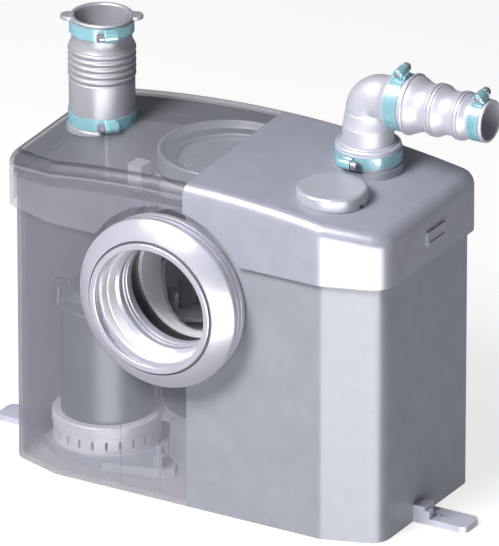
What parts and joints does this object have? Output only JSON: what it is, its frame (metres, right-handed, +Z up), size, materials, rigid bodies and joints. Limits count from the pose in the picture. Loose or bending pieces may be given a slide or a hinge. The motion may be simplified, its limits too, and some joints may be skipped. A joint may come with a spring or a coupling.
{
  "type": "macerator toilet pump",
  "caption": "Macerator toilet pump with a half clear tank, cutting drum, motor, level sensor, hose sleeve, vent and swivelling discharge elbow.",
  "frame": {"origin": "centre of the case's flat underside, on the floor", "axes": "+X to the right along the front, towards the discharge outlet; +Y to the back wall; +Z up"},
  "size_m": [0.41, 0.188, 0.3482],
  "materials": {
    "clear_plastic": "clear moulded plastic, smooth",
    "case_plastic": "satin moulded plastic",
    "white_rubber": "smooth pale rubber",
    "grey_rubber": "smooth grey rubber",
    "elbow_rubber": "smooth light grey rubber",
    "inner_plastic": "moulded plastic",
    "dark_plastic": "dark moulded plastic",
    "black_rubber": "black seal rubber",
    "black_plastic": "black plastic",
    "white_plastic": "white plastic",
    "steel": "plain steel",
    "copper": "varnished copper wire",
    "clamp_band": "light blue coated band",
    "clamp_screw": "plated steel"
  },
  "bodies": {
    "base": {"case_window": "clear_plastic", "case_shell": "case_plastic", "floor_lugs": "case_plastic", "pan_sleeve": "white_rubber", "grinder_drum": "inner_plastic", "cutting_basket": "steel", "drum_cover": "inner_plastic", "drum_seal": "black_rubber", "motor_can": "dark_plastic", "pump_cover": "inner_plastic", "pump_volute": "inner_plastic", "stator_core": "steel", "stator_windings": "copper", "bearings": "steel", "shaft_seals": "black_rubber", "riser_pipe": "inner_plastic", "chamber_plinth": "inner_plastic", "strainer_ring": "inner_plastic", "chamber_foot_ring": "white_rubber", "level_chamber": "dark_plastic", "chamber_cap": "dark_plastic", "diaphragm": "black_rubber", "microswitch": "black_plastic", "sensor_conduit": "inner_plastic", "conduit_bracket": "inner_plastic", "electrics_box": "dark_plastic", "electrics_cover": "dark_plastic", "capacitor": "steel", "terminal_block": "white_plastic", "motor_lead": "black_plastic", "cable_gland": "black_plastic", "lid_gasket": "black_rubber"},
    "rotor": {"motor_shaft": "steel", "rotor_core": "steel", "impeller": "inner_plastic", "knife_rotor": "steel"},
    "plunger": {"switch_plunger": "white_plastic"},
    "lid": {"lid_window": "clear_plastic", "lid_shell": "case_plastic", "lid_latches": "case_plastic", "waste_sleeve": "grey_rubber", "sleeve_clamp_low": "clamp_band", "sleeve_clamp_high": "clamp_band", "vent_filter": "black_plastic"},
    "vent": {"vent_cap": "case_plastic"},
    "elbow": {"discharge_elbow": "elbow_rubber", "valve_seat": "inner_plastic", "outlet_adapter": "elbow_rubber", "collar_clamp": "clamp_band", "elbow_clamp": "clamp_band", "outlet_clamp": "clamp_band"},
    "flap": {"valve_flap": "black_rubber"},
    "turn_sleeve_screw_low": {"sleeve_screw_low": "clamp_screw"},
    "turn_sleeve_screw_high": {"sleeve_screw_high": "clamp_screw"},
    "turn_collar_screw": {"collar_screw": "clamp_screw"},
    "turn_elbow_screw": {"elbow_screw": "clamp_screw"},
    "turn_outlet_screw": {"outlet_screw": "clamp_screw"}
  },
  "joints": [
    {"name": "lid_lift", "type": "slide", "parent": "base", "child": "lid", "axis": [0, 0, 1], "range_m": [0, 0.09]},
    {"name": "vent_cap_pull", "type": "slide", "parent": "lid", "child": "vent", "axis": [0, 0, 1], "range_m": [0, 0.02]},
    {"name": "elbow_swivel", "type": "hinge", "parent": "lid", "child": "elbow", "pos_m": [0.097, 0.0292, 0.26538], "axis": [0, 0, 1], "continuous": true},
    {"name": "valve_flap_swing", "type": "hinge", "parent": "elbow", "child": "flap", "pos_m": [0.084, 0.0292, 0.28168], "axis": [0, -1, 0], "range_deg": [0, 65]},
    {"name": "rotor_spin", "type": "hinge", "parent": "base", "child": "rotor", "pos_m": [-0.014, 0.014, 0.1], "axis": [0, 0, 1], "continuous": true},
    {"name": "switch_plunger_press", "type": "slide", "parent": "base", "child": "plunger", "axis": [0, 0, 1], "range_m": [0, 0.0015], "stiffness_N_per_m": 150},
    {"name": "sleeve_screw_low_turn", "type": "hinge", "parent": "lid", "child": "turn_sleeve_screw_low", "pos_m": [-0.09731, -0.01749, 0.26668], "axis": [-0.7071, -0.7071, 0], "continuous": true},
    {"name": "sleeve_screw_high_turn", "type": "hinge", "parent": "lid", "child": "turn_sleeve_screw_high", "pos_m": [-0.0983, -0.0165, 0.33928], "axis": [-0.7071, -0.7071, 0], "continuous": true},
    {"name": "collar_screw_turn", "type": "hinge", "parent": "elbow", "child": "turn_collar_screw", "pos_m": [0.09402, 0.00086, 0.27217], "axis": [0.9945, -0.1045, 0], "continuous": true},
    {"name": "elbow_screw_turn", "type": "hinge", "parent": "elbow", "child": "turn_elbow_screw", "pos_m": [0.1263, 0.02573, 0.34326], "axis": [0, 0.9903, 0.1392], "continuous": true},
    {"name": "outlet_screw_turn", "type": "hinge", "parent": "elbow", "child": "turn_outlet_screw", "pos_m": [0.1935, 0.02651, 0.33771], "axis": [0, 0.9903, 0.1392], "continuous": true}
  ]
}
